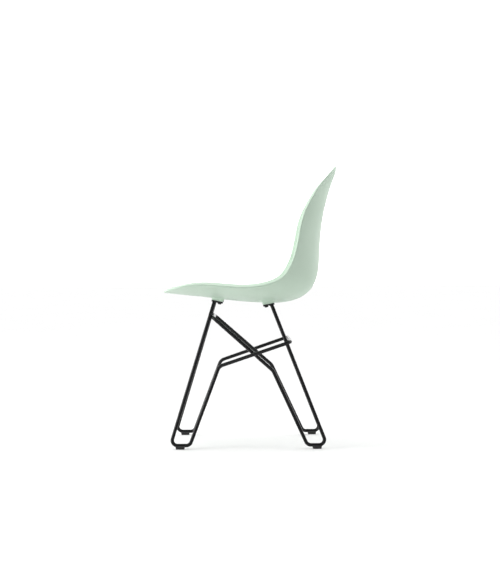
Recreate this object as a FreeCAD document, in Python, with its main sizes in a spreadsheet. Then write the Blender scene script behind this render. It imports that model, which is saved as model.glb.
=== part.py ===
import FreeCAD, Part
import math
import os
import Sketcher
from FreeCAD import Vector

# A stacking side chair: one moulded plastic shell on a welded frame of two bent steel rods.
# X points to the rear, Y to the sitter's right, Z up. The origin is on the floor, below the middle.

doc = FreeCAD.newDocument("shell_chair")

# Driving dimensions, in millimetres and degrees
sheet = doc.addObject("Spreadsheet::Sheet", "sizes")

SIZES = {
    # bent rods
    "rod_diameter": 10.5,
    "weld_gap": 0.2,
    "foot_middle_x": -11,
    "foot_track_half": 204,
    "foot_spread_half": 197.5,
    "foot_run": 56,
    "foot_bend_radius": 15.5,
    "front_leg_lean_angle": 17.1,
    "front_leg_splay_angle": 15.9,
    "front_leg_top": 422,
    "front_riser_lean_angle": 20.7,
    "front_riser_splay_angle": 12.8,
    "front_knee_height": 235.6,
    "front_knee_radius": 22,
    "rear_leg_lean_angle": 21.15,
    "rear_leg_splay_angle": 13.2,
    "rear_leg_top": 412.5,
    "rear_riser_lean_angle": 24.75,
    "rear_riser_splay_angle": 15.1,
    "rear_knee_height": 221.6,
    "rear_knee_radius": 30,
    "front_crossbar_height": 376,
    "front_crossbar_overhang": 17,
    "rear_crossbar_height": 306,
    "rear_crossbar_overhang": 29,
    "crossbar_bend_radius": 15,
    # mounting plates below the shell
    "plate_width": 26,
    "plate_thickness": 3,
    "plate_corner_radius": 5,
    "plate_end_to_leg": 8.5,
    "leg_to_screw": 16,
    "plate_end_to_screw": 9.5,
    "front_plate_tilt": 12,
    "rear_plate_tilt": 10,
    "pad_thickness": 2.2,
    "plate_weld_size": 2,
    "bar_weld_radius": 6.5,
    # screws and inserts
    "screw_diameter": 6,
    "screw_engagement": 9.6,
    "screw_head_diameter": 11,
    "screw_head_height": 3.2,
    "screw_socket_width": 4,
    "screw_socket_depth": 2,
    "washer_diameter": 13,
    "washer_thickness": 1.2,
    "bolt_clearance": 0.6,
    "thread_clearance": 0.1,
    "insert_diameter": 9,
    "insert_length": 10,
    "insert_groove": 0.8,
    # glides under the feet
    "glide_length": 28,
    "glide_base_length": 24,
    "glide_base_width": 12,
    "glide_floor_thickness": 5.75,
    "glide_grip": 4,
    "glide_clearance": 0.2,
    "glide_pin_diameter": 4,
    "glide_pin_length": 3,
    "glide_corner_radius": 3,
    # shell
    "shell_thickness": 5.5,
    "boss_draft_angle": 14,
    "front_corner_x": -236,
    "front_corner_y": 190,
    "front_corner_squareness": 8,
    "top_arch_squareness": 2.2,
}

# Stations of the shell's lower and rear face, from the front edge to the top of the back.
# Each gives the middle (x, z), a point at the side (x, y, z) and how square the curve between them
# is, seen from above and seen from the front. The side points are the rim, but the first and the
# last two stations reach past it, and the outline's round corners cut across them.
STATIONS = {
    "front_edge": (-257, 448, -257, 214, 461.5, 3, 3),
    "front_bay": (-201, 441.5, -201, 212, 467, 2.6, 2.6),
    "thigh": (-141, 435, -141, 224, 471.7, 2.4, 2.4),
    "front_seat": (-71, 426, -71, 230, 466.4, 2.4, 2.4),
    "mid_seat": (-1, 419.3, -3, 232, 465, 2.4, 2.4),
    "rear_seat": (69, 416.5, 48, 229.5, 473.8, 2.4, 2.4),
    "heel": (132, 426.5, 86, 222, 491.5, 2.7, 2.7),
    "bend": (177.5, 457.5, 109.5, 210.5, 521, 3, 3),
    "low_back": (198, 506, 122.5, 198, 550, 3.2, 3.2),
    "waist": (203, 562, 131, 188, 579, 3.3, 3.3),
    "mid_back": (206.8, 620, 140.5, 179, 626, 3.3, 3.3),
    "high_back": (215.7, 680, 154.5, 166, 679, 3.1, 3.1),
    "shoulder": (230, 737, 181, 142, 731, 2.8, 2.8),
    "crown": (245.7, 783, 207, 112, 768, 2.15, 2.5),
    "tip": (253.9, 805, 214.5, 112, 790, 2.1, 2.5),
    "top_edge": (256.5, 824, 220.5, 112, 811, 2.1, 2.5),
}
STATION_COLUMNS = (
    "middle_x",
    "middle_z",
    "side_x",
    "side_y",
    "side_z",
    "plan_squareness",
    "front_squareness",
)


def write_size(row, alias, value):
    """Put one driving dimension into the sheet, under its own name."""
    sheet.set("A%d" % row, alias)
    sheet.set("B%d" % row, str(value))
    sheet.setAlias("B%d" % row, alias)


row = 1
for alias, value in SIZES.items():
    write_size(row, alias, value)
    row += 1
for station, values in STATIONS.items():
    for column, value in zip(STATION_COLUMNS, values):
        write_size(row, station + "_" + column, value)
        row += 1
doc.recompute()


def size(alias):
    """The value that the sheet holds for one driving dimension."""
    return float(getattr(sheet, alias))


def tangent(alias):
    return math.tan(math.radians(size(alias)))


def add_shape(label, shape):
    """A piece whose form is worked out from the sheet's values."""
    piece = doc.addObject("Part::Feature", label)
    piece.Label = label
    piece.Shape = shape
    piece.Placement = FreeCAD.Placement()
    return piece


def bind(thing, **formulas):
    """Tie properties of an object to the sheet; every name in a formula is a size."""
    for prop, formula in formulas.items():
        thing.setExpression(prop, formula)
    return thing


# Sketches, pads and pockets of the small made pieces

def new_body(label):
    body = doc.addObject("PartDesign::Body", label)
    body.Label = label
    return body


def new_sketch(body, name, role="XY_Plane", height=None):
    """A sketch on one of the body's own planes, or parallel to it at a height."""
    sketch = body.newObject("Sketcher::SketchObject", name)
    plane = [item for item in body.Origin.OriginFeatures if item.Role == role][0]
    sketch.AttachmentSupport = [(plane, "")]
    sketch.MapMode = "FlatFace"
    if height:
        sketch.setExpression("AttachmentOffset.Base.z", height)
    return sketch


def add_circle(sketch, diameter, x=None):
    """A circle on the sketch's x axis, with its diameter and its place tied to the sheet."""
    circle = sketch.addGeometry(Part.Circle(Vector(0, 0, 0), Vector(0, 0, 1), 1))
    index = sketch.addConstraint(Sketcher.Constraint("Diameter", circle, 2))
    sketch.setExpression("Constraints[%d]" % index, diameter)
    if x is None:
        sketch.addConstraint(Sketcher.Constraint("Coincident", circle, 3, -1, 1))
        return
    sketch.addConstraint(Sketcher.Constraint("PointOnObject", circle, 3, -1))
    index = sketch.addConstraint(Sketcher.Constraint("DistanceX", -1, 1, circle, 3, 1))
    sketch.setExpression("Constraints[%d]" % index, x)


def add_rectangle(sketch, length, width, left=None):
    """A rectangle astride the x axis; its left side is at minus half its length, or at minus left."""
    corners = [Vector(-1, -1, 0), Vector(1, -1, 0), Vector(1, 1, 0), Vector(-1, 1, 0)]
    first = sketch.GeometryCount
    for start, end in zip(corners, corners[1:] + corners[:1]):
        sketch.addGeometry(Part.LineSegment(start, end))
    for side in range(4):
        sketch.addConstraint(Sketcher.Constraint("Coincident", first + side, 2, first + (side + 1) % 4, 1))
    for side, kind in enumerate(("Horizontal", "Vertical", "Horizontal", "Vertical")):
        sketch.addConstraint(Sketcher.Constraint(kind, first + side))
    formulas = [
        (Sketcher.Constraint("DistanceX", first, 1, first, 2, 2), length),
        (Sketcher.Constraint("DistanceY", first + 1, 1, first + 1, 2, 2), width),
        (Sketcher.Constraint("DistanceX", first, 1, -1, 1, 1), left or length + " / 2"),
        (Sketcher.Constraint("DistanceY", first, 1, -1, 1, 1), width + " / 2"),
    ]
    for constraint, formula in formulas:
        index = sketch.addConstraint(constraint)
        sketch.setExpression("Constraints[%d]" % index, formula)


def add_pad(body, sketch, name, length, downward=False):
    pad = body.newObject("PartDesign::Pad", name)
    pad.Profile = sketch
    pad.Reversed = downward
    return bind(pad, Length=length)


def edges_where(feature, test):
    """Names of the edges of a feature that pass a test."""
    return ["Edge%d" % (i + 1) for i, edge in enumerate(feature.Shape.Edges) if test(edge)]


def round_edges(body, feature, name, radius, test):
    doc.recompute()
    fillet = body.newObject("PartDesign::Fillet", name)
    fillet.Base = (feature, edges_where(feature, test))
    return bind(fillet, Radius=radius)


def is_upright(edge):
    ends = [vertex.Point for vertex in edge.Vertexes]
    return len(ends) == 2 and (ends[1] - ends[0]).cross(Vector(0, 0, 1)).Length < 1e-6


ROD_RADIUS = size("rod_diameter") / 2
FOOT_AXIS_HEIGHT = size("glide_floor_thickness") + ROD_RADIUS
ENDS = ("front", "rear")
# +X is the rear, so each rod mirrors the other about the middle of the feet
OUTWARD = {"front": -1, "rear": 1}
SIDES = {"left": -1, "right": 1}


# Legs and rods

def leg_point(end, height):
    """Where the middle line of a leg is at a height, on the +Y side."""
    rise = height - FOOT_AXIS_HEIGHT
    corner = size("foot_spread_half") + size("foot_run") / 2
    x = size("foot_middle_x") + OUTWARD[end] * (corner - rise * tangent(end + "_leg_lean_angle"))
    return Vector(x, size("foot_track_half") - rise * tangent(end + "_leg_splay_angle"), height)


def leg_direction(end):
    up = leg_point(end, FOOT_AXIS_HEIGHT + 1) - leg_point(end, FOOT_AXIS_HEIGHT)
    return up.normalize()


def crossbar_point(end):
    """Middle line of the crossbar that lies against the rear side of one pair of legs."""
    at_leg = leg_point(end, size(end + "_crossbar_height"))
    side_lean = math.radians(size(end + "_leg_lean_angle"))
    behind = (size("rod_diameter") + size("weld_gap")) / math.cos(side_lean)
    return Vector(at_leg.x + behind, 0, at_leg.z)


def half_route(end):
    """Corners of one rod on the +Y side, from the leg's top to its crossbar, and their bend radii."""
    other = "rear" if end == "front" else "front"
    out = OUTWARD[end]
    middle = size("foot_middle_x")
    track = size("foot_track_half")
    inner_corner = size("foot_spread_half") - size("foot_run") / 2
    rise = size(end + "_knee_height") - FOOT_AXIS_HEIGHT
    bar = crossbar_point(other)
    # the leg runs on into the plate, which trims it
    top = leg_point(end, size(end + "_leg_top") + size("rod_diameter"))
    outer_foot = leg_point(end, FOOT_AXIS_HEIGHT)
    inner_foot = Vector(middle + out * inner_corner, track, FOOT_AXIS_HEIGHT)
    knee_x = middle + out * (inner_corner - rise * tangent(end + "_riser_lean_angle"))
    knee = Vector(knee_x, track - rise * tangent(end + "_riser_splay_angle"), size(end + "_knee_height"))
    leg_there = leg_point(other, bar.z).y
    bar_corner = Vector(bar.x, leg_there + size(other + "_crossbar_overhang"), bar.z)
    corners = [top, outer_foot, inner_foot, knee, bar_corner]
    foot_bend = size("foot_bend_radius")
    radii = [foot_bend, foot_bend, size(end + "_knee_radius"), size("crossbar_bend_radius")]
    return corners, radii


def mirrored(point):
    return Vector(point.x, -point.y, point.z)


def bent_wire(corners, radii):
    """Straight runs between the corners, joined by tangent arcs."""
    edges = []
    start = corners[0]
    for before, corner, after, radius in zip(corners, corners[1:], corners[2:], radii):
        back = (before - corner).normalize()
        ahead = (after - corner).normalize()
        half_angle = back.getAngle(ahead) / 2
        set_back = radius / math.tan(half_angle)
        first = corner + back * set_back
        last = corner + ahead * set_back
        toward_centre = (back + ahead).normalize()
        reach = radius / math.sin(half_angle) - radius
        edges.append(Part.LineSegment(start, first).toShape())
        edges.append(Part.Arc(first, corner + toward_centre * reach, last).toShape())
        start = last
    edges.append(Part.LineSegment(start, corners[-1]).toShape())
    return Part.Wire(edges)


def whole_wire(end):
    """The route of one rod, from its left leg's top round to its right leg's top."""
    corners, radii = half_route(end)
    return bent_wire([mirrored(c) for c in corners] + corners[::-1], radii + radii[::-1])


# Plates: each has its own local frame, x along the plate toward the screw, z up and out of it

def plate_frame(end, side):
    """Placement of a mounting plate's underside, at the point where the leg meets it."""
    top = leg_point(end, size(end + "_leg_top"))
    top.y *= SIDES[side]
    tilt = size(end + "_plate_tilt")
    spin = 0 if end == "front" else 180
    turn = FreeCAD.Rotation(Vector(0, 0, 1), spin).multiply(FreeCAD.Rotation(Vector(0, 1, 0), tilt))
    return FreeCAD.Placement(top, turn)


def placed(shape, placement):
    shape.Placement = placement.multiply(shape.Placement)
    return shape


def rounded_rectangle(length, width, radius, x, z):
    """A closed outline with round corners, its middle at (x, 0, z)."""
    left, right = x - length / 2, x + length / 2
    low, high = -width / 2, width / 2
    near = radius * (1 - math.sqrt(0.5))
    inner_left, inner_right, inner_low, inner_high = left + near, right - near, low + near, high - near
    lines = [
        ((left + radius, low), (right - radius, low)),
        ((right, low + radius), (right, high - radius)),
        ((right - radius, high), (left + radius, high)),
        ((left, high - radius), (left, low + radius)),
    ]
    bends = [
        (inner_right, inner_low),
        (inner_right, inner_high),
        (inner_left, inner_high),
        (inner_left, inner_low),
    ]
    edges = []
    for index, (start, end) in enumerate(lines):
        following = lines[(index + 1) % 4][0]
        edges.append(Part.LineSegment(Vector(*start, z), Vector(*end, z)).toShape())
        edges.append(Part.Arc(Vector(*end, z), Vector(*bends[index], z), Vector(*following, z)).toShape())
    return Part.Wire(edges)


SCREW_X = size("leg_to_screw")
PLATE_LENGTH = size("plate_end_to_leg") + SCREW_X + size("plate_end_to_screw")
PLATE_MIDDLE = PLATE_LENGTH / 2 - size("plate_end_to_leg")
PAD_TOP = size("plate_thickness") + size("pad_thickness")


def shifted(placement, x, z):
    """The same frame, moved along its own x and z axes."""
    return placement.multiply(FreeCAD.Placement(Vector(x, 0, z), FreeCAD.Rotation()))


def flat_piece(label, thickness, placement):
    """A plate or a pad, with round corners and the screw hole through it."""
    body = new_body(label)
    outline = new_sketch(body, label + "_outline")
    length = "sizes.plate_end_to_leg + sizes.leg_to_screw + sizes.plate_end_to_screw"
    add_rectangle(outline, length, "sizes.plate_width", "sizes.plate_end_to_leg")
    add_circle(outline, "sizes.screw_diameter + sizes.bolt_clearance", "sizes.leg_to_screw")
    slab = add_pad(body, outline, label + "_slab", thickness)
    round_edges(body, slab, label + "_corners", "sizes.plate_corner_radius", is_outer_upright)
    body.Placement = placement
    return body


def is_outer_upright(edge):
    """The seam of the screw hole is upright too, but it isn't a corner of the plate."""
    half_width = size("plate_width") / 2
    return is_upright(edge) and abs(abs(edge.Vertexes[0].Point.y) - half_width) < 1e-6


def washer(label, placement):
    body = new_body(label)
    ring = new_sketch(body, label + "_ring")
    add_circle(ring, "sizes.washer_diameter")
    add_circle(ring, "sizes.screw_diameter + sizes.bolt_clearance")
    add_pad(body, ring, label + "_slab", "sizes.washer_thickness")
    body.Placement = placement
    return body


def screw(label, placement):
    """A button-head screw, its head hanging below the origin and its shank standing above."""
    body = new_body(label)
    head_outline = new_sketch(body, label + "_head_outline")
    add_circle(head_outline, "sizes.screw_head_diameter")
    head = add_pad(body, head_outline, label + "_head", "sizes.screw_head_height", downward=True)
    height = size("screw_head_height")
    round_edges(
        body,
        head,
        label + "_crown",
        "0.7 * sizes.screw_head_height",
        lambda edge: abs(edge.BoundBox.ZMax + height) < 1e-6,
    )
    doc.recompute()
    socket_outline = new_sketch(body, label + "_socket_outline", height="-sizes.screw_head_height")
    add_hexagon(socket_outline, "sizes.screw_socket_width")
    socket = body.newObject("PartDesign::Pocket", label + "_socket")
    socket.Profile = socket_outline
    socket.Reversed = True
    bind(socket, Length="sizes.screw_socket_depth")
    shank_outline = new_sketch(body, label + "_shank_outline")
    add_circle(shank_outline, "sizes.screw_diameter - 2 * sizes.thread_clearance")
    through = "sizes.washer_thickness + sizes.plate_thickness + sizes.pad_thickness"
    shank = add_pad(body, shank_outline, label + "_shank", through + " + sizes.screw_engagement")
    doc.recompute()
    end = shank.Shape.BoundBox.ZMax
    tip = body.newObject("PartDesign::Chamfer", label + "_tip")
    tip.Base = (shank, edges_where(shank, lambda edge: edge.BoundBox.ZMin > end - 0.01))
    bind(tip, Size="0.12 * sizes.screw_diameter")
    body.Placement = placement
    return body


def add_hexagon(sketch, across_flats):
    """A hexagon about the origin, held by a construction circle through its corners."""
    circle = sketch.addGeometry(Part.Circle(Vector(0, 0, 0), Vector(0, 0, 1), 1), True)
    sketch.addConstraint(Sketcher.Constraint("Coincident", circle, 3, -1, 1))
    corners = [Vector(math.cos(math.pi / 3 * i), math.sin(math.pi / 3 * i), 0) for i in range(6)]
    for start, end in zip(corners, corners[1:] + corners[:1]):
        sketch.addGeometry(Part.LineSegment(start, end))
    for side in range(1, 7):
        following = side % 6 + 1
        sketch.addConstraint(Sketcher.Constraint("Coincident", side, 2, following, 1))
        sketch.addConstraint(Sketcher.Constraint("PointOnObject", side, 1, circle))
        if side > 1:
            sketch.addConstraint(Sketcher.Constraint("Equal", 1, side))
    sketch.addConstraint(Sketcher.Constraint("PointOnObject", 1, 1, -1))
    index = sketch.addConstraint(Sketcher.Constraint("Diameter", circle, 2))
    sketch.setExpression("Constraints[%d]" % index, across_flats + " / cos(30)")


def threaded_insert(label, placement):
    """A brass bush with two collars, held in its boss, with the screw's bore through it."""
    body = new_body(label)
    ring = new_sketch(body, label + "_ring")
    add_circle(ring, "sizes.insert_diameter")
    add_circle(ring, "sizes.screw_diameter")
    bush = add_pad(body, ring, label + "_bush", "sizes.insert_length")
    waist = new_sketch(body, label + "_waist_outline", height="sizes.insert_length / 3")
    add_circle(waist, "2 * sizes.insert_diameter")
    add_circle(waist, "sizes.insert_diameter - 2 * sizes.insert_groove")
    groove = body.newObject("PartDesign::Pocket", label + "_waist")
    groove.Profile = waist
    groove.Reversed = True
    bind(groove, Length="sizes.insert_length / 3")
    body.Placement = placement
    return body


def glide(label, placement):
    """A plastic foot that cradles the rod and pins into a hole in its underside."""
    body = new_body(label)
    base = new_sketch(body, label + "_base")
    add_rectangle(base, "sizes.glide_base_length", "sizes.glide_base_width")
    height = "sizes.glide_floor_thickness + sizes.glide_grip"
    block = add_pad(body, base, label + "_block", height)
    bind(block, TaperAngle="atan((sizes.glide_length - sizes.glide_base_length) / 2 / (%s))" % height)
    round_edges(body, block, label + "_corners", "sizes.glide_corner_radius", is_steep)
    cradle_outline = new_sketch(body, label + "_cradle_outline", role="YZ_Plane")
    circle = cradle_outline.addGeometry(Part.Circle(Vector(0, 1, 0), Vector(0, 0, 1), 1))
    cradle_outline.addConstraint(Sketcher.Constraint("PointOnObject", circle, 3, -2))
    index = cradle_outline.addConstraint(Sketcher.Constraint("DistanceY", -1, 1, circle, 3, 1))
    axis_height = "sizes.glide_floor_thickness + sizes.rod_diameter / 2"
    cradle_outline.setExpression("Constraints[%d]" % index, axis_height)
    index = cradle_outline.addConstraint(Sketcher.Constraint("Diameter", circle, 2))
    cradle_outline.setExpression("Constraints[%d]" % index, "sizes.rod_diameter + 2 * sizes.glide_clearance")
    cradle = body.newObject("PartDesign::Pocket", label + "_cradle")
    cradle.Profile = cradle_outline
    cradle.Midplane = True
    bind(cradle, Length="2 * sizes.glide_length")
    pin_outline = new_sketch(body, label + "_pin_outline", height="sizes.glide_floor_thickness / 2")
    add_circle(pin_outline, "sizes.glide_pin_diameter")
    add_pad(body, pin_outline, label + "_pin", "sizes.glide_floor_thickness / 2 + sizes.glide_pin_length")
    body.Placement = placement
    return body


def is_steep(edge):
    ends = [vertex.Point for vertex in edge.Vertexes]
    return abs(ends[1].z - ends[0].z) > 1e-6


def above_plate(end, side):
    """The space above a plate's underside, which trims the leg and its weld."""
    reach = PLATE_LENGTH * 3
    block = Part.makeBox(reach, reach, reach, Vector(-reach / 2, -reach / 2, 0))
    return placed(block, plate_frame(end, side))


# Shell

def station_point(name, across):
    """A point of one station; across is 0 in the middle and 1 or -1 at the side points."""
    values = [size(name + "_" + column) for column in STATION_COLUMNS]
    middle_x, middle_z, side_x, side_y, side_z, plan_squareness, front_squareness = values
    x = middle_x + (side_x - middle_x) * abs(across) ** plan_squareness
    z = middle_z + (side_z - middle_z) * abs(across) ** front_squareness
    return Vector(x, side_y * across, z)


def continued(row, before, share):
    """A row past the last one, on straight lines through it and the one before."""
    return [point + (point - other) * share for point, other in zip(row, before)]


def wide_surface():
    """The lower face, carried on past the rim all round."""
    reach = 1.05
    steps = 9
    spots = [reach * math.sin(math.pi / 2 * step / steps) for step in range(-steps, steps + 1)]
    rows = [[station_point(name, across) for across in spots] for name in STATIONS]
    first = continued(rows[0], rows[1], 0.3)
    last = continued(rows[-1], rows[-2], 0.9)
    surface = Part.BSplineSurface()
    surface.interpolate([first] + rows + [last])
    return surface


def half_outline():
    """Points near the rim on the +Y side, from the front's middle to the top's."""
    names = list(STATIONS)
    front, crown, top = names[0], names[-3], names[-1]
    points = []
    for share in (0, 0.25, 0.5, 0.7, 0.8, 0.9, 1):
        y = size("front_corner_y") * share
        point = station_point(front, y / size(front + "_side_y"))
        setback = size("front_corner_x") - size(front + "_middle_x")
        point.x += setback * share ** size("front_corner_squareness")
        points.append(point)
    points += [station_point(name, 1) for name in names[1:-2]]
    low, high = size(crown + "_side_z"), size(top + "_middle_z")
    for share in (0.8, 0.6, 0.4, 0.2, 0):
        z = high - (high - low) * share ** size("top_arch_squareness")
        below, above = station_point(crown, share), station_point(top, share)
        point = below + (above - below) * ((z - below.z) / (above.z - below.z))
        points.append(point)
    return points


def spread_grid(surface):
    """Points spread evenly over a surface, and its unit normals there."""
    first_u, last_u, first_v, last_v = surface.bounds()
    rows, columns = 48, 40
    points, normals = [], []
    for i in range(rows + 1):
        u = first_u + (last_u - first_u) * i / rows
        points.append([])
        normals.append([])
        for j in range(columns + 1):
            v = first_v + (last_v - first_v) * j / columns
            points[-1].append(surface.value(u, v))
            normals[-1].append(toward_sitter(surface, u, v))
    return points, normals


def toward_sitter(surface, u, v):
    """The unit normal that points up from the seat and forward from the back."""
    normal = surface.normal(u, v)
    return normal if normal.z - normal.x > 0 else -normal


def grid_face(grid):
    surface = Part.BSplineSurface()
    surface.interpolate(grid)
    return surface.toShape()


def raised(grid, normals, height):
    return [[p + n * height for p, n in zip(row, line)] for row, line in zip(grid, normals)]


SURFACE = wide_surface()
OUTER, NORMALS = spread_grid(SURFACE)


def rim_walls():
    """Short walls end to end that cut the rim square, along the normals through its outline."""
    half = half_outline()
    outline = half + [mirrored(point) for point in half[-2:0:-1]]
    low, high = [], []
    for point in outline:
        u, v = SURFACE.parameter(point)
        on_surface, normal = SURFACE.value(u, v), toward_sitter(SURFACE, u, v)
        low.append(on_surface - normal * size("shell_thickness"))
        high.append(on_surface + normal * (2 * size("shell_thickness")))
    marks = [0]
    for point, following in zip(outline, outline[1:] + outline[:1]):
        marks.append(marks[-1] + (following - point).Length)
    curves = []
    for points in (low, high):
        curve = Part.BSplineCurve()
        curve.interpolate(Points=points, PeriodicFlag=True, Parameters=marks)
        curves.append(curve)
    ends = marks[::2]
    walls = []
    for start, end in zip(ends, ends[1:]):
        walls.append(Part.makeRuledSurface(curves[0].toShape(start, end), curves[1].toShape(start, end)))
    return walls


def moulded_sheet():
    """The seat and back as one solid sheet between an outer and an inner face, cut at its rim."""
    outer = grid_face(OUTER)
    inner = grid_face(raised(OUTER, NORMALS, size("shell_thickness")))
    faces = [outer, inner]
    for outer_edge, inner_edge in zip(outer.Edges, inner.Edges):
        faces.append(Part.makeRuledSurface(outer_edge, inner_edge))
    skin = Part.makeShell(faces)
    skin.sewShape()
    pieces = Part.Solid(skin).generalFuse(rim_walls())[1][0]
    sheet_solid = max(pieces, key=lambda piece: abs(piece.Volume))
    if sheet_solid.Volume < 0:
        sheet_solid.reverse()
    return sheet_solid


def boss(end, side):
    """The moulded foot of the shell that stands on one pad."""
    bottom = rounded_rectangle(
        PLATE_LENGTH, size("plate_width"), size("plate_corner_radius"), PLATE_MIDDLE, PAD_TOP
    )
    rise = 40
    spread = 2 * rise * tangent("boss_draft_angle")
    top = rounded_rectangle(
        PLATE_LENGTH + spread,
        size("plate_width") + spread,
        size("plate_corner_radius") + spread / 2,
        PLATE_MIDDLE,
        PAD_TOP + rise,
    )
    return placed(Part.makeLoft([bottom, top], True, True), plate_frame(end, side))


def insert_hole(end, side):
    depth = size("insert_length")
    hole = Part.makeCylinder(size("insert_diameter") / 2, depth, Vector(SCREW_X, 0, PAD_TOP))
    return placed(hole, plate_frame(end, side))


def seat_shell():
    shell = moulded_sheet()
    middle_face = grid_face(raised(OUTER, NORMALS, size("shell_thickness") / 2))
    over = middle_face.extrude(Vector(0, 0, PLATE_LENGTH * 3))
    for end in ENDS:
        for side in SIDES:
            shell = shell.fuse(boss(end, side).cut(over))
    for end in ENDS:
        for side in SIDES:
            shell = shell.cut(insert_hole(end, side))
    return shell


# Rods

TRIM_SIDE = "4 * sizes.rod_diameter"


def rod(end):
    """One rod: its route swept with a round section, trimmed at the plates, holed for the glides."""
    route = doc.addObject("Part::Feature", end + "_rod_route")
    route.Shape = whole_wire(end)
    start = route.Shape.Edges[0]
    section = doc.addObject("Part::Circle", end + "_rod_section")
    bind(section, Radius="sizes.rod_diameter / 2")
    facing = FreeCAD.Rotation(Vector(0, 0, 1), start.tangentAt(start.FirstParameter))
    section.Placement = FreeCAD.Placement(start.firstVertex().Point, facing)
    sweep = doc.addObject("Part::Sweep", end + "_rod_sweep")
    sweep.Sections = [section]
    sweep.Spine = (route, ["Edge%d" % (i + 1) for i in range(len(route.Shape.Edges))])
    sweep.Solid = True
    sweep.Frenet = False
    removed = []
    for side, sign in SIDES.items():
        trim = doc.addObject("Part::Box", "%s_%s_trim" % (end, side))
        bind(trim, Length=TRIM_SIDE, Width=TRIM_SIDE, Height=TRIM_SIDE)
        half = 2 * size("rod_diameter")
        corner = FreeCAD.Placement(Vector(-half, -half, 0), FreeCAD.Rotation())
        trim.Placement = plate_frame(end, side).multiply(corner)
        hole = doc.addObject("Part::Cylinder", "%s_%s_pin_hole" % (end, side))
        bind(hole, Radius="sizes.glide_pin_diameter / 2 + sizes.glide_clearance")
        bind(hole, Height="sizes.glide_pin_length + sizes.glide_clearance")
        hole.Placement.Base = foot_place(end, side) + Vector(0, 0, size("glide_floor_thickness"))
        removed += [trim, hole]
    cutters = doc.addObject("Part::Compound", end + "_rod_cutters")
    cutters.Links = removed
    finished = doc.addObject("Part::Cut", end + "_rod")
    finished.Base = sweep
    finished.Tool = cutters
    finished.Label = end + "_rod"
    return finished


def foot_place(end, side):
    """The spot on the floor below the middle of one foot."""
    x = size("foot_middle_x") + OUTWARD[end] * size("foot_spread_half")
    return Vector(x, SIDES[side] * size("foot_track_half"), 0)


# Welds

def cleared(shape, end, side):
    """A weld's body without the space of the rods that it joins."""
    gap = size("weld_gap") / 2
    for rod_end in ENDS:
        corners, radii = half_route(rod_end)
        corners.append(mirrored(corners[-1]))
        wire = bent_wire([mirrored(c) if side == "left" else c for c in corners], radii)
        first = wire.Edges[0]
        ring = Part.Circle(first.firstVertex().Point, first.tangentAt(first.FirstParameter), ROD_RADIUS + gap)
        shape = shape.cut(wire.makePipeShell([Part.Wire(ring.toShape())], True, False))
    return shape


def bar_weld(end, side):
    """The bead on each side of the line where a crossbar touches a leg."""
    bar = crossbar_point(end)
    leg = leg_point(end, bar.z)
    lean = math.radians(size(end + "_leg_lean_angle"))
    toward_leg = Vector(-math.cos(lean), 0, OUTWARD[end] * -math.sin(lean))
    touch = Vector(bar.x, SIDES[side] * leg.y, bar.z) + toward_leg * (ROD_RADIUS + size("weld_gap") / 2)
    along = leg_direction(end)
    along.y *= SIDES[side]
    height = size("rod_diameter")
    bead = Part.makeCylinder(size("bar_weld_radius") / 2, height, touch - along * (height / 2), along)
    return cleared(bead, end, side)


def plate_weld(end, side):
    """The ring of weld round a leg, below its plate."""
    length = size("plate_weld_size")
    place = plate_frame(end, side)
    top = place.Base
    along = leg_direction(end)
    along.y *= SIDES[side]
    low, high = ROD_RADIUS, ROD_RADIUS + 2 * length
    cone = Part.makeCone(low, high, 2 * length, top - along * length, along)
    return cleared(cone.cut(above_plate(end, side)), end, side)


# The whole chair

parts = [add_shape("seat_shell", seat_shell())]
for end in ENDS:
    parts.append(rod(end))
for end in ENDS:
    for side in SIDES:
        name = end + "_" + side + "_"
        plate = plate_frame(end, side)
        parts.append(flat_piece(name + "plate", "sizes.plate_thickness", plate))
        on_plate = shifted(plate, 0, size("plate_thickness"))
        parts.append(flat_piece(name + "pad", "sizes.pad_thickness", on_plate))
        under_plate = shifted(plate, SCREW_X, -size("washer_thickness"))
        parts.append(washer(name + "washer", under_plate))
        parts.append(screw(name + "screw", under_plate))
        parts.append(threaded_insert(name + "insert", shifted(plate, SCREW_X, PAD_TOP)))
        floor = FreeCAD.Placement(foot_place(end, side), FreeCAD.Rotation())
        parts.append(glide(name + "glide", floor))
        parts.append(add_shape(name + "plate_weld", plate_weld(end, side)))
        parts.append(add_shape(name + "crossbar_weld", bar_weld(end, side)))
doc.recompute()

for item in doc.Objects:
    if "Invalid" in item.State or "Error" in item.State:
        raise RuntimeError(item.Label + " failed: " + str(item.State))
for part in parts:
    if part.Shape.isNull() or not part.Shape.isValid():
        raise RuntimeError(part.Label + " has no valid shape")

os.makedirs("parts", exist_ok=True)
for part in parts:
    part.Shape.exportStep("parts/" + part.Label + ".step")
    print(part.Label, len(part.Shape.Solids), round(part.Shape.Volume, 1))
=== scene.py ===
import math

import bpy
import numpy as np
from mathutils import Matrix, Vector
from mathutils.bvhtree import BVHTree


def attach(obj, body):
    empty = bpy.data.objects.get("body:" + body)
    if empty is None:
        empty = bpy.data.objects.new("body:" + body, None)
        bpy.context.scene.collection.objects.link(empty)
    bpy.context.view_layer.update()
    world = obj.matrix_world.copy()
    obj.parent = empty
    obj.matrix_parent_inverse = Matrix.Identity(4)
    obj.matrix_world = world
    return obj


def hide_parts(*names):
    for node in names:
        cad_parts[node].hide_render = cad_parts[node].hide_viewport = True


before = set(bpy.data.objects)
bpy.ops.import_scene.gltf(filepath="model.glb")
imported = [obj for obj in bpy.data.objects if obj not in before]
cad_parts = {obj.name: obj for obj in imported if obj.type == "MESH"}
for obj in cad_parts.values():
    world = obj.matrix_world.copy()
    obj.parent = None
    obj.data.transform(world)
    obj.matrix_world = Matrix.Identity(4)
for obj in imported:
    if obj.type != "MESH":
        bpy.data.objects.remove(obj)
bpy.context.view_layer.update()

# A stacking side chair: one moulded plastic shell on a welded frame of two bent steel rods.
# Millimetres in the tables below, metres in every mesh.
MM = 0.001

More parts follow.
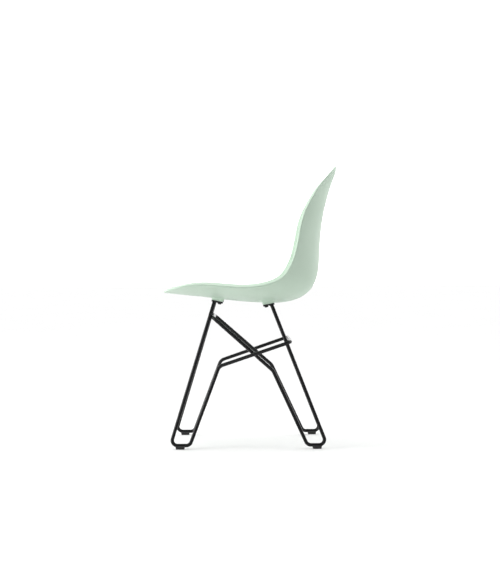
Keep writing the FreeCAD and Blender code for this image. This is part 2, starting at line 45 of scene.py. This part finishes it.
# Stations of the shell's lower and rear face, from the front edge to the top of the back:
# the middle (x, z), a point at the side (x, y, z), and how square the curve is from above and
# from the front. The first and the last two stations reach past the rim.
STATIONS = [
    (-257, 448, -257, 214, 461.5, 3, 3),
    (-201, 441.5, -201, 212, 467, 2.6, 2.6),
    (-141, 435, -141, 224, 471.7, 2.4, 2.4),
    (-71, 426, -71, 230, 466.4, 2.4, 2.4),
    (-1, 419.3, -3, 232, 465, 2.4, 2.4),
    (69, 416.5, 48, 229.5, 473.8, 2.4, 2.4),
    (132, 426.5, 86, 222, 491.5, 2.7, 2.7),
    (177.5, 457.5, 109.5, 210.5, 521, 3, 3),
    (198, 506, 122.5, 198, 550, 3.2, 3.2),
    (203, 562, 131, 188, 579, 3.3, 3.3),
    (206.8, 620, 140.5, 179, 626, 3.3, 3.3),
    (215.7, 680, 154.5, 166, 679, 3.1, 3.1),
    (230, 737, 181, 142, 731, 2.8, 2.8),
    (245.7, 783, 207, 112, 768, 2.15, 2.5),
    (253.9, 805, 214.5, 112, 790, 2.1, 2.5),
    (256.5, 824, 220.5, 112, 811, 2.1, 2.5),
]
FRONT_CORNER = (-236, 190)
FRONT_CORNER_SQUARENESS = 8
TOP_ARCH_SQUARENESS = 2.2
SHELL_THICKNESS = 5.5
RIM_ROUNDING = 2.1
RIM_INSET = 2.35
RIM_STEPS = 9
RIM_SQUARENESS = 0.7

# The carried-on surface: how far it goes past the rim, as shares of a row and of its end steps
PAST_SIDES = 1.05
PAST_FRONT = 0.3
PAST_TOP = 0.9
ROW_POINTS = 241
OUTLINE_STEPS = 24
# Where the mesh has its corners on the rim: behind the first side point, and on the top's arch
FRONT_CORNER_BACK = 28
TOP_CORNER_Y = 84
BACK_ONLY_Z = 700

# Legs and mounting plates, as in the frame
FOOT_MIDDLE_X = -11
FOOT_TRACK_HALF = 204
FOOT_CORNER = 225.5
FOOT_AXIS_HEIGHT = 11
PLATES = {
    "front": {"out": -1, "lean": 17.1, "splay": 15.9, "top": 422, "tilt": 12, "flare": 9},
    "rear": {"out": 1, "lean": 21.15, "splay": 13.2, "top": 412.5, "tilt": 10, "flare": 22},
}
PLATE_LENGTH = 34
PLATE_WIDTH = 26
PLATE_CORNER = 5
PLATE_MIDDLE = 8.5
PAD_TOP = 5.2

# Moulded feet of the shell
BOSS_RINGS = 16
BOSS_FLARE_POWER = 2.4
BOSS_CLIMB_POWER = 0.8
BOSS_EMBEDDED = 0.12
BELOW_SHELL = 60


# Shell

def spline_rows(stations, steps):
    """Rows between the stations, on natural cubic curves through matching points."""
    count = len(stations)
    gaps = np.linalg.norm(np.diff(stations, axis=0), axis=2).mean(axis=1)
    system = np.zeros((count, count))
    sides = np.zeros(stations.shape)
    system[0, 0] = system[-1, -1] = 1
    for i in range(1, count - 1):
        before, after = gaps[i - 1], gaps[i]
        system[i, i - 1 : i + 2] = before, 2 * (before + after), after
        sides[i] = 6 * ((stations[i + 1] - stations[i]) / after - (stations[i] - stations[i - 1]) / before)
    bends = np.linalg.solve(system, sides.reshape(count, -1)).reshape(stations.shape)
    rows = []
    for i in range(count - 1):
        for step in range(steps):
            there = step / steps
            here = 1 - there
            straight = here * stations[i] + there * stations[i + 1]
            bow = (here**3 - here) * bends[i] + (there**3 - there) * bends[i + 1]
            rows.append(straight + gaps[i] ** 2 / 6 * bow)
    rows.append(stations[-1])
    return np.array(rows)


def evenly_spaced(line, count):
    lengths = np.concatenate([[0], np.cumsum(np.linalg.norm(np.diff(line, axis=0), axis=1))])
    wanted = np.linspace(0, lengths[-1], count)
    return np.stack([np.interp(wanted, lengths, line[:, axis]) for axis in range(3)], axis=1)


def station_points(station, across):
    """Points of one station; across is 0 in the middle and 1 or -1 at the side points."""
    mid_x, mid_z, side_x, side_y, side_z, plan_power, front_power = station
    x = mid_x + (side_x - mid_x) * np.abs(across) ** plan_power
    z = mid_z + (side_z - mid_z) * np.abs(across) ** front_power
    return np.stack([x, side_y * across, z], axis=-1)


def wide_grid(rows_per_station, columns, reach, past_ends):
    """The lower face in rows from left to right; with past_ends it is carried on past the rim."""
    across = reach * np.sin(np.linspace(-math.pi / 2, math.pi / 2, ROW_POINTS))
    rows = [station_points(station, across) for station in STATIONS]
    if past_ends:
        first = rows[0] + (rows[0] - rows[1]) * PAST_FRONT
        last = rows[-1] + (rows[-1] - rows[-2]) * PAST_TOP
        rows = [first, *rows, last]
    rows = spline_rows(np.array(rows), rows_per_station)
    return np.array([evenly_spaced(row, columns) for row in rows])


def half_outline():
    """Points near the rim on the +Y side, from the front's middle to the top's."""
    front, crown, top = STATIONS[0], STATIONS[-3], STATIONS[-1]
    points = []
    for share in (0, 0.25, 0.5, 0.7, 0.8, 0.9, 1):
        point = station_points(front, np.array(FRONT_CORNER[1] * share / front[3]))
        point[0] += (FRONT_CORNER[0] - front[0]) * share**FRONT_CORNER_SQUARENESS
        points.append(point)
    points += [station_points(station, np.array(1.0)) for station in STATIONS[1:-2]]
    for share in (0.8, 0.6, 0.4, 0.2, 0):
        height = top[1] - (top[1] - crown[4]) * share**TOP_ARCH_SQUARENESS
        below, above = station_points(crown, np.array(share)), station_points(top, np.array(share))
        points.append(below + (above - below) * (height - below[2]) / (above[2] - below[2]))
    return points


def outline_ring(rows, columns, tree):
    """The rim as a ring of points on the surface, in the order of a grid's border."""
    half = half_outline()
    mirror = np.array([1, -1, 1])
    line = np.array([point * mirror for point in half[::-1]] + half[1:])
    closed = np.concatenate([line[-4:-1], line, line[1:4]])
    smooth = spline_rows(closed[:, None, :], OUTLINE_STEPS)[:, 0]
    smooth = smooth[3 * OUTLINE_STEPS : -3 * OUTLINE_STEPS]
    lengths = np.concatenate([[0], np.cumsum(np.linalg.norm(np.diff(smooth, axis=0), axis=1))])
    corner = np.argmin(np.linalg.norm(smooth - station_points(STATIONS[1], np.array(1.0)), axis=1))
    front_corner = lengths[corner] - FRONT_CORNER_BACK
    off_the_back = (smooth[:, 2] < BACK_ONLY_Z) * 1000
    top_corner = lengths[np.argmin(np.abs(smooth[:, 1] - TOP_CORNER_Y) + off_the_back)]
    whole = lengths[-1]
    marks = np.concatenate([
        np.linspace(whole - front_corner, front_corner, columns),
        np.linspace(front_corner, top_corner, rows)[1:],
        np.linspace(top_corner, 2 * whole - top_corner, columns)[1:],
        np.linspace(whole - top_corner, whole - front_corner, rows)[1:-1],
    ])
    places = [np.interp(marks % whole, lengths, smooth[:, axis]) for axis in range(3)]
    return [np.array(tree.find_nearest(Vector(point))[0]) for point in np.stack(places, axis=1)]


def surface_tree(grid):
    """A search tree over a grid's cells."""
    rows, columns = grid.shape[:2]
    cells = []
    for i in range(rows - 1):
        for j in range(columns - 1):
            a, b = i * columns + j, (i + 1) * columns + j
            cells.append((a, a + 1, b + 1, b))
    return BVHTree.FromPolygons([Vector(point) for point in grid.reshape(-1, 3)], cells)


def relaxed(grid, tree):
    """The same grid with its inner points spread evenly over the surface, also near its corners."""
    grid = grid.copy()
    for turn in range(12):
        for step in range(25):
            around = grid[:-2, 1:-1] + grid[2:, 1:-1] + grid[1:-1, :-2] + grid[1:-1, 2:]
            grid[1:-1, 1:-1] = around / 4
        for i in range(1, grid.shape[0] - 1):
            for j in range(1, grid.shape[1] - 1):
                grid[i, j] = tree.find_nearest(Vector(grid[i, j]))[0]
    return grid


def unit(vectors):
    return vectors / np.maximum(np.linalg.norm(vectors, axis=-1, keepdims=True), 1e-12)


def grid_normals(grid):
    """Normals toward the sitter, from the cells round each point."""
    cells = np.cross(grid[1:, 1:] - grid[:-1, :-1], grid[:-1, 1:] - grid[1:, :-1])
    total = np.zeros(grid.shape)
    for down in (0, 1):
        for right in (0, 1):
            total[down : down + cells.shape[0], right : right + cells.shape[1]] += cells
    normals = unit(total)
    middle = normals[grid.shape[0] // 4, grid.shape[1] // 2]
    return normals if middle[2] > 0 else -normals


def border(shape):
    """Grid places round the edge, in order."""
    rows, columns = shape
    places = [(0, j) for j in range(columns)]
    places += [(i, columns - 1) for i in range(1, rows)]
    places += [(rows - 1, j) for j in range(columns - 2, -1, -1)]
    places += [(i, 0) for i in range(rows - 2, 0, -1)]
    return places


def sheet_mesh():
    """Vertices and faces of the moulded sheet, closed round its rim by a rounded edge."""
    tree = surface_tree(wide_grid(16, 181, PAST_SIDES, True))
    lower = wide_grid(8, 85, 1.0, False)
    places = border(lower.shape[:2])
    ring = np.array(outline_ring(*lower.shape[:2], tree))
    facing = np.array([tree.find_nearest(Vector(point))[1] for point in ring])
    along = unit(np.roll(ring, -1, axis=0) - np.roll(ring, 1, axis=0))
    outward = unit(np.cross(along, facing))
    centre = lower[lower.shape[0] // 2, lower.shape[1] // 2]
    if np.mean(np.sum(outward * (ring - centre), axis=1)) < 0:
        outward = -outward
    for place, point in zip(places, ring - outward * RIM_INSET):
        lower[place] = tree.find_nearest(Vector(point))[0]
    lower = relaxed(lower, tree)
    normals = grid_normals(lower)
    half = SHELL_THICKNESS / 2
    middle = lower + normals * half
    inner_ring = np.array([middle[place] for place in places])
    ring_normals = np.array([normals[place] for place in places])

    rows, columns = middle.shape[:2]
    points = [*(middle - normals * half).reshape(-1, 3), *(middle + normals * half).reshape(-1, 3)]
    top = rows * columns
    faces = []
    for i in range(rows - 1):
        for j in range(columns - 1):
            a, b = i * columns + j, (i + 1) * columns + j
            faces.append((a, a + 1, b + 1, b))
            faces.append((top + a, top + b, top + b + 1, top + a + 1))
    loops = [[i * columns + j for i, j in places]]
    for step in range(1, RIM_STEPS):
        angle = -math.pi / 2 + math.pi * step / RIM_STEPS
        side = math.copysign(abs(math.sin(angle)) ** RIM_SQUARENESS, math.sin(angle))
        reach = math.cos(angle) ** RIM_SQUARENESS
        loop = inner_ring + outward * RIM_ROUNDING * reach + ring_normals * half * side
        loops.append(list(range(len(points), len(points) + len(loop))))
        points += list(loop)
    loops.append([top + i * columns + j for i, j in places])
    for low, high in zip(loops, loops[1:]):
        for k in range(len(places)):
            following = (k + 1) % len(places)
            faces.append((low[k], high[k], high[following], low[following]))
    return points, faces, tree


def plate_matrix(end, side):
    """The frame of a mounting plate's underside, x toward its screw, in millimetres."""
    plate = PLATES[end]
    rise = plate["top"] - FOOT_AXIS_HEIGHT
    x = FOOT_MIDDLE_X + plate["out"] * (FOOT_CORNER - rise * math.tan(math.radians(plate["lean"])))
    y = side * (FOOT_TRACK_HALF - rise * math.tan(math.radians(plate["splay"])))
    spin = 0 if end == "front" else math.pi
    turn = Matrix.Rotation(spin, 4, "Z") @ Matrix.Rotation(math.radians(plate["tilt"]), 4, "Y")
    return Matrix.Translation((x, y, plate["top"])) @ turn


def pad_outline(steps):
    """Places and outward directions round the pad's outline, in its plane."""
    half_length, half_width = PLATE_LENGTH / 2 - PLATE_CORNER, PLATE_WIDTH / 2 - PLATE_CORNER
    corners = [(1, 1), (-1, 1), (-1, -1), (1, -1)]
    spots = []
    for index, (sx, sy) in enumerate(corners):
        for step in range(steps + 1):
            angle = math.pi / 2 * (index + step / steps)
            out = Vector((math.cos(angle), math.sin(angle)))
            spots.append((Vector((sx * half_length, sy * half_width)) + out * PLATE_CORNER, out))
        following = corners[(index + 1) % 4]
        here, there = spots[-1][0], Vector((following[0] * half_length, following[1] * half_width))
        there = there + spots[-1][1] * PLATE_CORNER
        for step in range(1, steps):
            spots.append((here.lerp(there, step / steps), spots[-1][1]))
    return spots


def boss_mesh(tree, end, side):
    """A moulded foot of the shell, from its pad up to where it runs out into the sheet."""
    place = plate_matrix(end, side)
    up = place.to_3x3() @ Vector((0, 0, 1))
    flare = PLATES[end]["flare"]
    spots = pad_outline(7)
    points = []
    for ring in range(BOSS_RINGS + 1):
        share = ring / BOSS_RINGS
        spread = flare * share**BOSS_FLARE_POWER
        climb = math.sin(math.pi / 2 * share) ** BOSS_CLIMB_POWER
        for spot, out in spots:
            flat = spot + out * spread
            start = place @ Vector((flat.x + PLATE_MIDDLE, flat.y, -BELOW_SHELL))
            hit, normal, index, distance = tree.ray_cast(start, up)
            surface = distance - BELOW_SHELL
            height = PAD_TOP + (surface - PAD_TOP) * climb
            if ring == BOSS_RINGS:
                height += BOSS_EMBEDDED
            points.append(place @ Vector((flat.x + PLATE_MIDDLE, flat.y, height)))
    count = len(spots)
    faces = []
    for ring in range(BOSS_RINGS):
        for k in range(count):
            following = (k + 1) % count
            low, high = ring * count, (ring + 1) * count
            faces.append((low + k, low + following, high + following, high + k))
    faces.append(tuple(reversed(range(count))))
    return points, faces


def new_object(name, points, faces, material):
    mesh = bpy.data.meshes.new(name)
    mesh.from_pydata([tuple(float(v) * MM for v in point) for point in points], [], faces)
    mesh.validate()
    mesh.polygons.foreach_set("use_smooth", [True] * len(mesh.polygons))
    mesh.materials.append(material)
    piece = bpy.data.objects.new(name, mesh)
    bpy.context.collection.objects.link(piece)
    return piece


# Materials

def new_material(name):
    """A material with its shader, and helpers to add nodes and links to it."""
    material = bpy.data.materials.new(name)
    material.use_nodes = True
    nodes, links = material.node_tree.nodes, material.node_tree.links
    shader = nodes["Principled BSDF"]
    coordinates = nodes.new("ShaderNodeTexCoord")
    return material, nodes, links, shader, coordinates.outputs["Object"]


def noise(nodes, links, where, scale, detail=2.0, roughness=0.5):
    texture = nodes.new("ShaderNodeTexNoise")
    texture.inputs["Scale"].default_value = scale
    texture.inputs["Detail"].default_value = detail
    texture.inputs["Roughness"].default_value = roughness
    links.new(where, texture.inputs["Vector"])
    return texture.outputs["Fac"]


def mapped(nodes, links, value, low, high, start=0.3, end=0.7):
    """A value from start to end, turned into one from low to high."""
    node = nodes.new("ShaderNodeMapRange")
    for name, number in (("From Min", start), ("From Max", end), ("To Min", low), ("To Max", high)):
        node.inputs[name].default_value = number
    links.new(value, node.inputs["Value"])
    return node.outputs["Result"]


def blended(nodes, links, share, first, second):
    node = nodes.new("ShaderNodeMix")
    node.data_type = "RGBA"
    node.inputs["A"].default_value = (*first, 1)
    node.inputs["B"].default_value = (*second, 1)
    links.new(share, node.inputs["Factor"])
    return node.outputs["Result"]


def bumped(nodes, links, height, distance, strength=1.0, under=None):
    node = nodes.new("ShaderNodeBump")
    node.inputs["Strength"].default_value = strength
    node.inputs["Distance"].default_value = distance
    links.new(height, node.inputs["Height"])
    if under is not None:
        links.new(under, node.inputs["Normal"])
    return node.outputs["Normal"]


def shell_plastic():
    material, nodes, links, shader, where = new_material("mint_polypropylene")
    share = mapped(nodes, links, noise(nodes, links, where, 14, 3), 0, 1)
    colour = blended(nodes, links, share, (0.475, 0.60, 0.49), (0.495, 0.62, 0.51))
    links.new(colour, shader.inputs["Base Color"])
    links.new(mapped(nodes, links, noise(nodes, links, where, 60, 4), 0.40, 0.50), shader.inputs["Roughness"])
    grain = noise(nodes, links, where, 1100, 2, 0.6)
    shader.inputs["Specular IOR Level"].default_value = 0.45
    links.new(bumped(nodes, links, grain, 0.00004, 0.2), shader.inputs["Normal"])
    return material


def powder_coat(name, ripple=0.0):
    """Black powder coat; over a weld the bead's ripples show through it."""
    material, nodes, links, shader, where = new_material(name)
    peel = noise(nodes, links, where, 900, 2, 0.5)
    share = mapped(nodes, links, noise(nodes, links, where, 35, 3), 0, 1)
    colour = blended(nodes, links, share, (0.008, 0.008, 0.009), (0.014, 0.014, 0.015))
    links.new(colour, shader.inputs["Base Color"])
    links.new(mapped(nodes, links, peel, 0.20, 0.30), shader.inputs["Roughness"])
    shader.inputs["Specular IOR Level"].default_value = 0.22
    normal = bumped(nodes, links, peel, 0.00012, 0.4)
    if ripple:
        waves = nodes.new("ShaderNodeTexWave")
        waves.bands_direction = "DIAGONAL"
        waves.inputs["Scale"].default_value = 220
        waves.inputs["Distortion"].default_value = 2.5
        links.new(where, waves.inputs["Vector"])
        normal = bumped(nodes, links, waves.outputs["Fac"], ripple, 0.7, normal)
    links.new(normal, shader.inputs["Normal"])
    return material


def black_plastic(name, scuffed=False):
    material, nodes, links, shader, where = new_material(name)
    speck = noise(nodes, links, where, 1500, 2, 0.6)
    cloud = noise(nodes, links, where, 90, 4, 0.65)
    if scuffed:
        height = nodes.new("ShaderNodeSeparateXYZ")
        links.new(where, height.inputs["Vector"])
        low = mapped(nodes, links, height.outputs["Z"], 1, 0, 0.0, 0.006)
        worn = nodes.new("ShaderNodeMath")
        worn.operation = "MULTIPLY"
        links.new(low, worn.inputs[0])
        links.new(mapped(nodes, links, cloud, 0, 1, 0.45, 0.6), worn.inputs[1])
        share = worn.outputs["Value"]
        colour = blended(nodes, links, share, (0.016, 0.016, 0.017), (0.06, 0.058, 0.055))
    else:
        share = mapped(nodes, links, cloud, 0, 1)
        colour = blended(nodes, links, share, (0.014, 0.014, 0.015), (0.022, 0.022, 0.023))
    links.new(colour, shader.inputs["Base Color"])
    links.new(mapped(nodes, links, cloud, 0.46, 0.62), shader.inputs["Roughness"])
    links.new(bumped(nodes, links, speck, 0.00008, 0.4), shader.inputs["Normal"])
    return material


def metal(name, dark, light, rough_low, rough_high):
    material, nodes, links, shader, where = new_material(name)
    cloud = noise(nodes, links, where, 260, 4, 0.6)
    share = mapped(nodes, links, cloud, 0, 1)
    links.new(blended(nodes, links, share, dark, light), shader.inputs["Base Color"])
    links.new(mapped(nodes, links, cloud, rough_low, rough_high), shader.inputs["Roughness"])
    shader.inputs["Metallic"].default_value = 1.0
    fine = noise(nodes, links, where, 2200, 2, 0.5)
    links.new(bumped(nodes, links, fine, 0.00003, 0.3), shader.inputs["Normal"])
    return material


SHELL = shell_plastic()
FINISHES = {
    "rod": powder_coat("black_powder_coat"),
    "plate": powder_coat("black_powder_coat_plate"),
    "plate_weld": powder_coat("black_powder_coat_weld", 0.00035),
    "crossbar_weld": powder_coat("black_powder_coat_bead", 0.00035),
    "pad": black_plastic("black_pad_plastic"),
    "glide": black_plastic("black_nylon_glide", scuffed=True),
    "washer": metal("black_zinc_washer", (0.035, 0.035, 0.037), (0.07, 0.07, 0.073), 0.32, 0.46),
    "screw": metal("black_zinc_screw", (0.03, 0.03, 0.032), (0.06, 0.06, 0.063), 0.28, 0.42),
    "insert": metal("turned_brass", (0.66, 0.47, 0.20), (0.76, 0.57, 0.28), 0.26, 0.38),
}

for name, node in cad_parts.items():
    for ending, material in FINISHES.items():
        if name.endswith("_" + ending):
            for slot in node.material_slots:
                slot.material = material

points, faces, tree = sheet_mesh()
for end in PLATES:
    for side in (-1, 1):
        more_points, more_faces = boss_mesh(tree, end, side)
        start = len(points)
        points += more_points
        faces += [tuple(start + index for index in face) for face in more_faces]
shell = new_object("moulded_shell", points, faces, SHELL)
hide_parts("seat_shell")
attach(shell, "root")


# Studio

def studio_material(name, colour):
    material, nodes, links, shader, where = new_material(name)
    share = mapped(nodes, links, noise(nodes, links, where, 1.5, 2), 0, 1)
    paler = tuple(min(1.0, value * 1.01) for value in colour)
    links.new(blended(nodes, links, share, colour, paler), shader.inputs["Base Color"])
    shader.inputs["Roughness"].default_value = 0.9
    shader.inputs["Specular IOR Level"].default_value = 0.1
    return material


def add_floor():
    half = 30000
    corners = [(-half, -half, 0), (half, -half, 0), (half, half, 0), (-half, half, 0)]
    floor = new_object("floor", corners, [(0, 1, 2, 3)], studio_material("pale_floor", (0.80, 0.80, 0.80)))


def add_softbox(name, place, aim, size, power):
    light = bpy.data.lights.new(name, "AREA")
    light.shape = "RECTANGLE"
    light.size, light.size_y = size
    light.energy = power
    lamp = bpy.data.objects.new(name, light)
    lamp.location = place
    lamp.rotation_euler = (Vector(aim) - Vector(place)).to_track_quat("-Z", "Y").to_euler()
    bpy.context.collection.objects.link(lamp)


def add_world():
    """A white room that is dimmer on the side where the photographer stands."""
    world = bpy.data.worlds.new("white_room")
    world.use_nodes = True
    nodes, links = world.node_tree.nodes, world.node_tree.links
    background = nodes["Background"]
    where = nodes.new("ShaderNodeTexCoord")
    parts = nodes.new("ShaderNodeSeparateXYZ")
    links.new(where.outputs["Generated"], parts.inputs["Vector"])
    strength = nodes.new("ShaderNodeMapRange")
    strength.interpolation_type = "SMOOTHSTEP"
    for name, number in (("From Min", -0.55), ("From Max", 0.05), ("To Min", 0.08), ("To Max", 1.8)):
        strength.inputs[name].default_value = number
    links.new(parts.outputs["Y"], strength.inputs["Value"])
    links.new(strength.outputs["Result"], background.inputs["Strength"])
    background.inputs["Color"].default_value = (1, 1, 1, 1)
    bpy.context.scene.world = world


def add_camera():
    """A long lens level with the seat, square to the chair's left side."""
    data = bpy.data.cameras.new("camera")
    data.lens = 107.9
    data.sensor_width = 36
    data.clip_end = 200
    camera = bpy.data.objects.new("camera", data)
    yaw, pitch, roll = math.radians(0.0764), math.radians(0.73), 0.0056
    ahead = Vector((math.sin(yaw) * math.cos(pitch), math.cos(yaw) * math.cos(pitch), -math.sin(pitch)))
    level = Vector((math.cos(yaw), -math.sin(yaw), 0))
    above = level.cross(ahead)
    right = level * math.cos(roll) - above * math.sin(roll)
    up = above * math.cos(roll) + level * math.sin(roll)
    turn = Matrix((right, up, -ahead)).transposed()
    camera.matrix_world = Matrix.Translation((-0.011, -5.062, 0.5448)) @ turn.to_4x4()
    bpy.context.collection.objects.link(camera)
    bpy.context.scene.camera = camera


add_floor()
add_world()
add_softbox("front_softbox", (-3.0, -1.1, 1.3), (0, 0, 0.55), (1.6, 1.6), 66)
add_softbox("rim_softbox", (-1.6, -2.2, 2.6), (0, 0, 0.6), (1.2, 1.2), 12)
add_camera()
bpy.context.scene.view_settings.view_transform = "Standard"
